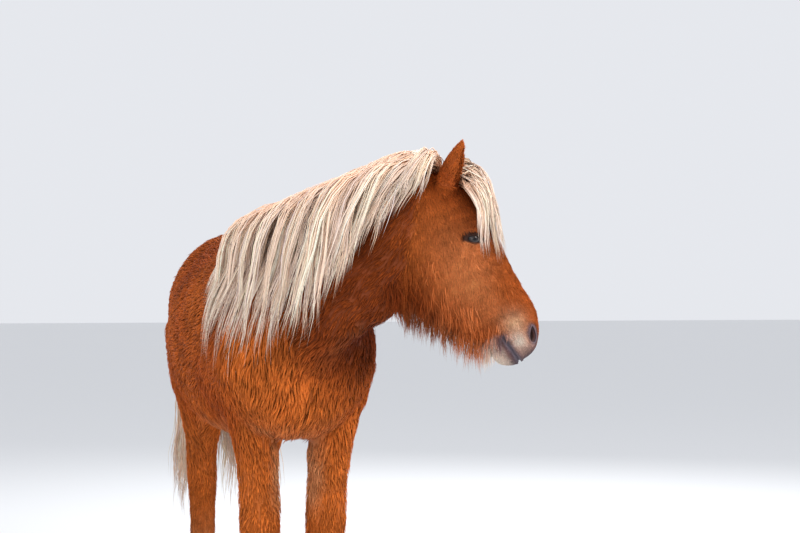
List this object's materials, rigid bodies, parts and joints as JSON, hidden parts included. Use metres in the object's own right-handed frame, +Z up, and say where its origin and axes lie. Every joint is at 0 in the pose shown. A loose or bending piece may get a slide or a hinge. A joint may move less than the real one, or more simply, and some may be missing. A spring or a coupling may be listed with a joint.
{
  "type": "icelandic horse",
  "caption": "Life-size icelandic horse standing square with its head turned left: stocky body, long parted-over mane, forelock, jaw fringe, feathered feet and a full hanging tail.",
  "frame": {"origin": "on the floor, under the middle of the box round the whole horse, hair and turned head included", "axes": "+X forward along the trunk, +Y to the horse's left, +Z up, with the four soles on z = 0"},
  "size_m": [1.9708, 0.9328, 1.5932],
  "materials": {
    "coat": "thick matt winter coat, red chestnut, with paler locks at the mane, forelock and tail",
    "tail_hair": "long silky hair, flaxen",
    "eye": "wet and glossy, dark brown",
    "horn": "smooth, faintly ringed"
  },
  "bodies": {
    "root": {"torso": "coat", "neck": "coat", "head": "coat", "ear_left": "coat", "ear_right": "coat", "eye_left": "eye", "eye_right": "eye", "foreleg_left": "coat", "foreleg_right": "coat", "hindleg_left": "coat", "hindleg_right": "coat", "hoof_fore_left": "horn", "hoof_fore_right": "horn", "hoof_hind_left": "horn", "hoof_hind_right": "horn", "tail": "tail_hair"}
  },
  "joints": []
}
